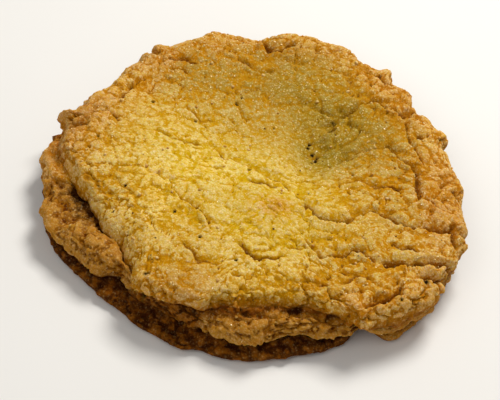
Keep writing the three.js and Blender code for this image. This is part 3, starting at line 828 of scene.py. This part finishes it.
def crust_material():
    """The crust's finish, with the crumb, the lower layer, the wall and the underside."""
    n = Nodes("crust")
    place = n.place()
    plate, hollow, valley, split, crack, pore, side, below = map(
        n.attribute, "plate hollow valley split crack pore side below".split())
    toast, yellow, olive, golden, shelf, low, slope, edge, rounded = map(
        n.attribute, "toast yellow olive golden shelf low slope edge rounded".split())
    wall = n.times(side, n.ramp(n.larger(shelf, rounded), 0, 1, 1, 0.12))

    broad = n.noise(place, BROAD, 3.0, 0.55)
    patch = n.noise(place, PATCH, 3.0, 0.6, 0.4)
    fleck = n.noise(place, FLECK, 2.0, 0.6)
    grain, grain_tone = n.grains(place, COARSE_GRAIN)
    fine, fine_tone = n.grains(place, FINE_GRAIN)

    # crust on the plates, crumb between them, with a ragged border
    ragged = n.plus(plate, n.ramp(fleck, 0.3, 0.7, -0.6, 0.4))
    covered = n.ramp(ragged, 0.05, 0.95)
    frosted = n.plus(n.ramp(hollow, 0.06, -0.06, -0.12, 0.12), n.times(patch, 0.5))
    frosted = n.plus(frosted, n.times(fleck, 0.4))
    frosted = n.plus(frosted, n.ramp(n.noise(place, FROST), 0.3, 0.7, -0.09, 0.19))
    yellowed = n.times(yellow, 0.85)
    crust = n.blend(n.ramp(frosted, 0.24, 0.76), n.blend(yellowed, CRUST_TAN, YELLOW_TAN),
                    n.blend(yellowed, CRUST_PALE, YELLOW_PALE))
    # darker golden: partly the crust's own colour, partly painted shade on slopes that face away from the
    # light, most at the back
    crust = n.blend(n.times(golden, 0.7), crust, CRUST_GOLDEN_AND_SHADE)
    browned = n.plus(toast, n.ramp(broad, 0.3, 0.75, -0.18, 0.18))
    crumb = n.blend(yellow, n.blend(n.ramp(browned, 0.1, 0.8), CRUMB_GOLD, CRUMB_ORANGE), CRUMB_YELLOW)
    # the lower layer, browner in patches and, as painted shade, in its hollows; and the wall under the
    # crust, with painted shade in its hollows and depths
    crumbly = n.plus(n.times(patch, 0.5), n.times(fleck, 0.5))
    lower = n.blend(n.ramp(n.plus(hollow, crumbly), 0.36, 0.6), SHELF_TAN, SHELF_BROWN)
    layered = n.noise(n.vector("MULTIPLY", {0: place, 1: (1, 1, 3.2)}), STREAK, 4.0, 0.7)
    # the wall: browned in streaks, and darker in its hollows as painted shade
    base = n.blend(n.ramp(n.plus(n.times(hollow, 1.5), layered), 0.28, 0.62), BASE_TAN, BASE_BROWN)
    base = n.blend(n.ramp(hollow, 0.04, 0.2, 0, 0.85), base, WALL_SHADE_BROWN)
    mottle = n.ramp(n.noise(place, MOTTLE, 3.0, 0.6), 0.35, 0.65, 0.35, 1)
    # painted shade on the wall's deep valleys and, in patches, where it lies low: its foot (over its own
    # browning), the crevice at the left and the neck under the crust's edge
    painted_wall_shade = n.larger(n.times(wall, n.ramp(valley, 0, 0.8)), n.times(low, mottle))
    # grains: how strongly they show, how light their middles are, and their colour
    strength = n.times(n.ramp(ragged, 0, 0.8, 0.35, 1), n.ramp(wall, 0, 1, 1, 0.4))
    strength = n.times(strength, n.ramp(shelf, 0, 1, 1, 0.8))
    lit = n.plus(n.ramp(grain_tone, 0.5, 0.95, 0, 0.4), n.ramp(fine_tone, 0.5, 0.95, 0, 0.3))
    coat = n.blend(n.larger(shelf, wall), SUGAR_PALE, SUGAR_GOLD)
    gaps = n.plus(n.times(grain_tone, 0.55), n.times(fine_tone, 0.45))
    pins = n.times(n.pinholes(place, PINHOLE_CELL), n.ramp(wall, 0, 0.5, 0.85, 0))

    colour = n.paint(
        n.blend(covered, crumb, crust),
        # browning of the crust and of its edge, the edge darker too as painted shade, then the lower
        # layer, and painted shade on the slope down to it
        (n.times(covered, n.ramp(browned, 0.1, 0.8, 0, 0.65)), TOASTED),
        (n.ramp(browned, 0.65, 1.2, 0, 0.7), RIM_BROWN),
        (n.times(edge, n.ramp(patch, 0.3, 0.65, 0.3, 0.8)), EDGE_BROWN_AND_SHADE),
        (n.times(shelf, 0.85), lower),
        (n.times(slope, n.ramp(patch, 0.35, 0.6, 0.55, 0.95)), SLOPE_SHADE_BROWN),
        # hollows keep the crumb's deep gold; the deepest hollows, the cracks and the splits go dark brown,
        # the crumb's deeper colour with painted shade; and the lower layer's hollows take the wall's brown
        # as painted shade
        (n.ramp(hollow, 0.02, 0.18, 0, 0.75), crumb),
        (n.ramp(hollow, 0.12, 0.4, 0, 0.85), DEEP_CRUMB_AND_SHADE),
        (n.ramp(crack, 0.45, 1, 0, 0.6), DEEP_CRUMB_AND_SHADE),
        (n.ramp(split, 0.15, 0.8, 0, 0.9), DEEP_CRUMB_AND_SHADE),
        (n.times(shelf, n.ramp(hollow, 0.04, 0.3, 0, 0.8)), BASE_BROWN),
        # the sunken middle, olive: partly its crumb's colour, partly painted shade; the wall under the
        # crust, browned and darker as painted shade, most in its depths; the underside; and the grains
        (n.times(olive, 0.7), OLIVE_AND_SHADE),
        (n.ramp(wall, 0.2, 1, 0, 0.92), base),
        (n.ramp(painted_wall_shade, 0, 0.8, 0, 0.9), WALL_SHADE_BROWN),
        (n.times(below, 0.5), RIM_BROWN),
        (n.times(strength, lit), coat),
    )
    colour = n.blend(n.ramp(gaps, 0.5, 0.2, 0, 0.85), colour, GAP_SHADE, "MULTIPLY")
    # painted shade in pinholes, which the mesh doesn't have, in the pores and round their rims
    colour = n.paint(colour, (pins, PINHOLE_SHADE), (n.ramp(pore, 0, 0.4, 0, 0.7), PORE_RIM_SHADE),
                     (n.ramp(pore, 0.45, 0.75, 0, 0.97), PORE_SHADOW))
    return n.surface({
        "Base Color": colour,
        "Normal": n.bump(grain, 0.07, 0.7, n.bump(fine, 0.045, 0.7)),
        "Roughness": n.ramp(grain_tone, 0.3, 0.9, 0.85, 0.55),
        "Specular IOR Level": 0.1,
        "Specular Tint": (1.0, 0.75, 0.4, 1.0),
        "Subsurface Weight": 0.35,
        "Subsurface Radius": (1.0, 0.5, 0.12),
        "Subsurface Scale": 1.1 * MM,
    })


def regions(points, u):
    """Shares of the places that are browned, yellow, olive or golden, olive and golden partly as painted
    shade, of the lower layer where it has a crust of its own, of where shade is painted dark on the wall,
    of the slope to the ledge, where shade is painted too, of the crust's edge, and of the left side, where
    that edge is rounded."""
    x, y, z = points.T
    r = np.hypot(x, y)
    angle = np.mod(np.degrees(np.arctan2(y, x)), 360)
    on_top = smooth((z - 5) / 2)
    patchy = noise(x, y, np.zeros_like(x), 9.0, 91)

    def spots(places):
        return sum(share * np.exp(-((x - sx) ** 2 + (y - sy) ** 2) / reach ** 2)
                   for sx, sy, reach, share in places)

    toast = 0.12 + 0.55 * smooth((r - 25) / 14) + 0.12 * patchy + spots(TOASTED_SPOTS)
    back_rim = smooth((r - 33) / 5) * (y > -10)
    golden = np.clip(0.1 + spots(GOLDEN_SPOTS) + 0.25 * patchy, 0, 1) * (1 - 0.6 * back_rim)
    yellow = np.clip(spots(YELLOW_SPOTS), 0, 1) * on_top * (1 - 0.9 * smooth((u - 3.9) / 0.9))
    olive = np.clip(spots(OLIVE_SPOTS) * (1 + 0.4 * patchy), 0, 1) * on_top
    # the lower layer, and the walls that are browned like the crust
    shown = np.maximum(band(angle, *LOBE), band(angle, *LEDGE))
    merged = smooth((angle - 206) / 8)      # where the lower layer runs on from the crust
    begin, over = CRUST_END + 1.0 - 1.4 * merged, 0.8 + 1.4 * merged
    right_wall, left_wall = band(angle, *RIGHT_WALL), band(angle, *LEFT_WALL)
    shelf = shown * band(u, begin, over, SHELF_END - 0.4, 0.8)
    shelf = np.maximum(shelf, 0.8 * right_wall * band(u, CRUST_END, 0.8, FOOT_END, 1))
    shelf = np.maximum(shelf, 0.3 * left_wall * band(u, CRUST_END, 2, SHELF_END, 1))
    # where shade is painted dark, over the browning at the foot of the wall: the foot, the crevice at the
    # left, and the neck under the crust's edge
    low = 0.75 * band(u, SHELF_END - 1.4, 1.6, FOOT_END + 0.6, 1.2)
    crevice = band(angle, *CREVICE) * band(u, CRUST_END, 0.6, SHELF_TOP + 0.2, 0.8)
    merges = np.maximum(shown * merged, left_wall)
    neck = 0.7 * band(u, CRUST_END, 0.5, SHELF_TOP + 0.2, 0.8) * (1 - merges)
    low = np.maximum(low, np.maximum(crevice, neck)) * (1 - 0.7 * right_wall)
    # where shade is painted on the slope under the crust's lip
    slope = band(angle, *SLOPE) * (0.35 + 0.65 * smooth((282 - angle) / 8))
    return {
        "toast": toast + 0.35 * shelf,
        "yellow": yellow,
        "olive": olive,
        "golden": golden,
        "shelf": shelf,
        "low": low,
        "slope": slope * band(u, CRUST_END - 0.3, 0.5, SHELF_TOP, 1.2),
        "edge": smooth((u - 4.5) / 1.1) * (1 - on_shelf(u)) * (1 - 0.7 * left_wall),
        "rounded": left_wall * smooth(SHELF_END - 0.5 - u),
    }


def sugar_material():
    n = Nodes("sugar")
    tint = n.attribute("tint")
    colour = n.blend(n.ramp(tint, 0.0, 0.9), linear("#EAC878"), linear("#F8E2A0"))
    return n.surface({
        "Base Color": n.blend(n.ramp(tint, 0.92, 1.0), colour, linear("#FFF6DC")),
        "Roughness": n.ramp(tint, 0.3, 1.0, 0.5, 0.16),
        "Specular IOR Level": 0.6,
    })


def crumb_material():
    n = Nodes("crumb")
    place = n.place()
    colour = n.blend(n.ramp(n.noise(place, 0.9), 0.35, 0.65), CRUMB_GOLD, CRUST_PALE)
    return n.surface({
        "Base Color": n.blend(n.ramp(n.attribute("tint"), 0.3, 1.0, 0.0, 0.4), colour, TOASTED),
        "Normal": n.bump(n.noise(place, 0.25), 0.1),
        "Roughness": 0.8,
    })


def speck_material():
    n = Nodes("speck")
    colour = n.blend(n.noise(n.place(), 0.4), linear("#2A1205"), linear("#6A3510"))
    return n.surface({"Base Color": colour, "Roughness": 0.7})


# ---- scattered pieces

SCATTER_SEED = 7
# How many grains, crumbs and specks, their sizes in millimetres, and the share of one that is sunk in.
SUGAR_COUNT, SUGAR_SIZE, SUGAR_SINK = 800, (0.18, 0.32), 0.76
CRUMB_COUNT, CRUMB_RADIUS, CRUMB_ROUGH = 90, (0.16, 0.34), 0.3
SPECK_COUNT, SPECK_SIZE, SPECK_SINK = 45, (0.14, 0.3), 0.5
FLOOR_GAP = 0.02      # what comes nearer to the floor than this is left out

CUBE_CORNERS = np.array([(sx, sy, sz) for sz in (-1, 1) for sy in (-1, 1) for sx in (-1, 1)], float)
CUBE_FACES = np.array([
    (0, 2, 3), (0, 3, 1), (4, 5, 7), (4, 7, 6), (0, 1, 5), (0, 5, 4),
    (2, 6, 7), (2, 7, 3), (0, 4, 6), (0, 6, 2), (1, 3, 7), (1, 7, 5),
])


def random_turns(rng, count):
    """Random rotations, as matrices."""
    q = rng.normal(size=(count, 4))
    w, x, y, z = (q / np.linalg.norm(q, axis=1, keepdims=True)).T
    return np.stack([
        1 - 2 * (y * y + z * z), 2 * (x * y - w * z), 2 * (x * z + w * y),
        2 * (x * y + w * z), 1 - 2 * (x * x + z * z), 2 * (y * z - w * x),
        2 * (x * z - w * y), 2 * (y * z + w * x), 1 - 2 * (x * x + y * y),
    ], axis=1).reshape(count, 3, 3)


def scatter(rng, count, skin, weight):
    """Random places on the skin, with a chance that follows area and weight, and their normals."""
    points, faces, normal = skin
    a, b, c = (points[faces[:, k]] for k in range(3))
    area = 0.5 * np.linalg.norm(np.cross(b - a, c - a), axis=1)
    chance = area * weight[faces].mean(axis=1)
    pick = rng.choice(len(faces), size=count, p=chance / chance.sum())
    s, t = rng.random((2, count))
    s, t = np.where(s + t > 1, 1 - s, s), np.where(s + t > 1, 1 - t, t)
    places = a[pick] + s[:, None] * (b - a)[pick] + t[:, None] * (c - a)[pick]
    return places, normal[faces[pick, 0]]


def joined(shapes, shape_faces):
    """Many copies of one small shape, given as points (count, corners, 3), as one mesh's data."""
    count, corners = shapes.shape[:2]
    faces = shape_faces[None] + corners * np.arange(count)[:, None, None]
    return shapes.reshape(-1, 3), faces.reshape(-1, 3)


def make_object(name, points, faces, material, values=None, soft_shading=True):
    """A mesh object from points in millimetres, with float values for its points."""
    mesh = bpy.data.meshes.new(name)
    mesh.vertices.add(len(points))
    mesh.vertices.foreach_set("co", (points * MM).astype(np.float32).ravel())
    mesh.loops.add(faces.size)
    mesh.loops.foreach_set("vertex_index", faces.astype(np.int32).ravel())
    mesh.polygons.add(len(faces))
    mesh.polygons.foreach_set("loop_start", np.arange(0, faces.size, 3, dtype=np.int32))
    mesh.update(calc_edges=True)
    mesh.polygons.foreach_set("use_smooth", np.full(len(faces), soft_shading))
    for key, value in (values or {}).items():
        layer = mesh.attributes.new(key, "FLOAT", "POINT")
        layer.data.foreach_set("value", np.asarray(value, np.float32))
    mesh.materials.append(material)
    mesh.validate()
    piece = bpy.data.objects.new(name, mesh)
    bpy.context.collection.objects.link(piece)
    return piece


def above_floor(shapes):
    """The shapes that stay above the surface that the cookie lies on."""
    return shapes[..., 2].min(axis=1) > FLOOR_GAP


def make_grains(rng, count, skin, size, sink, weight, name, material):
    """Small crystals: cubes with their corners pushed about, partly sunk in the skin."""
    places, out = scatter(rng, count, skin, weight)
    half = 0.5 * rng.uniform(*size, size=(count, 1, 1)) * rng.uniform(0.7, 1.2, size=(count, 1, 3))
    corners = CUBE_CORNERS[None] * half * rng.uniform(0.72, 1.05, size=(count, 8, 3))
    turned = np.einsum("nij,nkj->nki", random_turns(rng, count), corners)
    lift = (half.mean(axis=(1, 2)) * (1 - 2 * sink))[:, None]
    shapes = turned + (places + out * lift)[:, None]
    tints = rng.random(count)
    kept = above_floor(shapes)
    data, shape_faces = joined(shapes[kept], CUBE_FACES)
    return make_object(name, data, shape_faces, material, {"tint": np.repeat(tints[kept], 8)},
                       soft_shading=False)


def round_lump():
    """A ball of 42 points: an icosahedron with each face split in four."""
    corners = [(a, b * (1 + math.sqrt(5)) / 2) for b in (1, -1) for a in (-1, 1)]
    points = ([(a, b, 0) for a, b in corners] + [(0, a, b) for a, b in corners]
              + [(b, 0, a) for a, b in corners])
    faces = [(0, 11, 5), (0, 5, 1), (0, 1, 7), (0, 7, 10), (0, 10, 11), (1, 5, 9), (5, 11, 4),
             (11, 10, 2), (10, 7, 6), (7, 1, 8), (3, 9, 4), (3, 4, 2), (3, 2, 6), (3, 6, 8),
             (3, 8, 9), (4, 9, 5), (2, 4, 11), (6, 2, 10), (8, 6, 7), (9, 8, 1)]
    points = [np.array(p) / np.linalg.norm(p) for p in points]
    halfway, split = {}, []

    def middle(i, j):
        key = (min(i, j), max(i, j))
        if key not in halfway:
            p = points[i] + points[j]
            points.append(p / np.linalg.norm(p))
            halfway[key] = len(points) - 1
        return halfway[key]

    for i, j, k in faces:
        ij, jk, ki = middle(i, j), middle(j, k), middle(k, i)
        split += [(i, ij, ki), (j, jk, ij), (k, ki, jk), (ij, jk, ki)]
    return np.array(points), np.array(split)


def make_crumbs(rng, count, skin, weight, material):
    """Rough round crumbs that lie on the skin."""
    places, out = scatter(rng, count, skin, weight)
    ball, ball_faces = round_lump()
    radius = rng.uniform(*CRUMB_RADIUS, size=count)
    stretch = rng.uniform(0.7, 1.25, size=(count, 1, 3))
    shapes = ball[None] * radius[:, None, None] * stretch
    at = ball[None] + rng.uniform(0, 50, size=(count, 1, 3))
    rough = noise(at[..., 0], at[..., 1], at[..., 2], 0.9, 5)
    shapes = shapes * (1 + CRUMB_ROUGH * rough)[..., None]
    turned = np.einsum("nij,nkj->nki", random_turns(rng, count), shapes)
    turned = turned + (places + out * (0.35 * radius)[:, None])[:, None]
    tints = rng.random(count)
    kept = above_floor(turned)
    data, all_faces = joined(turned[kept], ball_faces)
    return make_object("crumbs", data, all_faces, material, {"tint": np.repeat(tints[kept], len(ball))})


# ---- the stage

VIEW_ELEVATION = 46.0     # degrees above the floor
VIEW_ROLL = 8.0           # degrees, the camera tilted to its left
VIEW_DISTANCE = 300.0     # millimetres
FOCAL_PIXELS = 1605.0     # focal length in pixels of a picture 500 wide
PICTURE_WIDTH = 500
PICTURE_HEIGHT = 400
AIM_PIXEL = (255.0, 187.0)     # where the cookie's middle shows in the picture
SENSOR_WIDTH = 36.0
AIM_HEIGHT = 6.0          # of the cookie's middle, in millimetres
FLOOR_HALF = 1500.0
# Lights: name, place and size in millimetres, power and colour. Then the light from all round.
LIGHTS = (
    ("key", (105, 175, 345), 150, 1.38, (1.0, 0.98, 0.94)),
    ("fill", (-120, -240, 330), 260, 0.4, (1.0, 0.98, 0.96)),
)
ROOM_COLOUR, ROOM_STRENGTH = (1.0, 0.99, 0.97, 1.0), 0.26


def make_camera(middle):
    """The camera of the photograph. middle is the point, in millimetres, that shows at AIM_PIXEL."""
    elevation, roll = math.radians(VIEW_ELEVATION), math.radians(VIEW_ROLL)
    back = Vector((0, -math.cos(elevation), math.sin(elevation)))
    right = Vector((0, 0, 1)).cross(back).normalized()
    up = back.cross(right)
    right_rolled = right * math.cos(roll) + up * math.sin(roll)
    up_rolled = up * math.cos(roll) - right * math.sin(roll)
    per_pixel = VIEW_DISTANCE / FOCAL_PIXELS
    aim = (middle - right_rolled * per_pixel * (AIM_PIXEL[0] - PICTURE_WIDTH / 2)
           - up_rolled * per_pixel * (PICTURE_HEIGHT / 2 - AIM_PIXEL[1]))
    data = bpy.data.cameras.new("camera")
    data.sensor_width = SENSOR_WIDTH
    data.lens = FOCAL_PIXELS * SENSOR_WIDTH / PICTURE_WIDTH
    data.clip_start = 0.01
    camera = bpy.data.objects.new("camera", data)
    bpy.context.collection.objects.link(camera)
    turn = Matrix((right_rolled, up_rolled, back)).transposed().to_4x4()
    camera.matrix_world = Matrix.Translation((aim + back * VIEW_DISTANCE) * MM) @ turn
    bpy.context.scene.camera = camera


def make_light(name, place, size, power, colour):
    """A square soft light, aimed at the cookie. Place in millimetres."""
    data = bpy.data.lights.new(name, "AREA")
    data.size = size * MM
    data.energy = power
    data.color = colour
    light = bpy.data.objects.new(name, data)
    light.location = Vector(place) * MM
    light.rotation_euler = (-Vector(place)).to_track_quat("-Z", "Y").to_euler()
    bpy.context.collection.objects.link(light)


def make_stage():
    n = Nodes("floor")
    colour = n.blend(n.noise(n.place(), 90.0), linear("#E9E7E3"), linear("#F0EEEA"))
    material = n.surface({"Base Color": colour, "Roughness": 0.9})
    corners = FLOOR_HALF * np.array([(-1, -1, 0), (1, -1, 0), (1, 1, 0), (-1, 1, 0)])
    floor = make_object("floor", corners, np.array([(0, 1, 2), (0, 2, 3)]), material)
    for light in LIGHTS:
        make_light(*light)
    world = bpy.data.worlds.new("studio")
    world.use_nodes = True
    room = world.node_tree.nodes["Background"]
    room.inputs["Color"].default_value = ROOM_COLOUR
    room.inputs["Strength"].default_value = ROOM_STRENGTH
    bpy.context.scene.world = world
    bpy.context.scene.view_settings.view_transform = "Standard"


# ---- the build

points, faces, normals, values = make_skin()

# The solid is centred on its own box, so the skin moves by the same amount.
low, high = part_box("cookie")
shift = np.zeros(3)
for k in (0, 1):
    shift[k] = (low[k] + high[k]) / 2 / MM - (points[:, k].min() + points[:, k].max()) / 2
points = points + shift

crust = make_object("cookie_skin", points, faces, crust_material(), values)
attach(crust, "root")
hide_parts("cookie")

skin = (points, faces, normals)
rng = np.random.default_rng(SCATTER_SEED)
on_side = values["side"] * (1 - values["below"])
upward = smooth((normals[:, 2] - 0.15) / 0.5) * (1 - values["below"])
open_top = upward * (1 - 0.8 * np.clip(values["split"] * 2, 0, 1)) * (1 - values["side"])

sugar_weight = (open_top + 0.12 * values["shelf"]) * (0.1 + 0.9 * values["plate"])
sugar = make_grains(rng, SUGAR_COUNT, skin, SUGAR_SIZE, SUGAR_SINK, sugar_weight,
                    "sugar_grains", sugar_material())
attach(sugar, "root")

in_hollows = np.clip(values["hollow"] * 4, 0, 1) * upward
crumb_weight = 0.25 * open_top + 0.6 * in_hollows + 0.1 * on_side
crumbs = make_crumbs(rng, CRUMB_COUNT, skin, crumb_weight, crumb_material())
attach(crumbs, "root")

specks = make_grains(rng, SPECK_COUNT, skin, SPECK_SIZE, SPECK_SINK, open_top + 0.3 * on_side,
                     "dark_specks", speck_material())
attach(specks, "root")

make_stage()
make_camera(Vector((shift[0], shift[1], AIM_HEIGHT)))
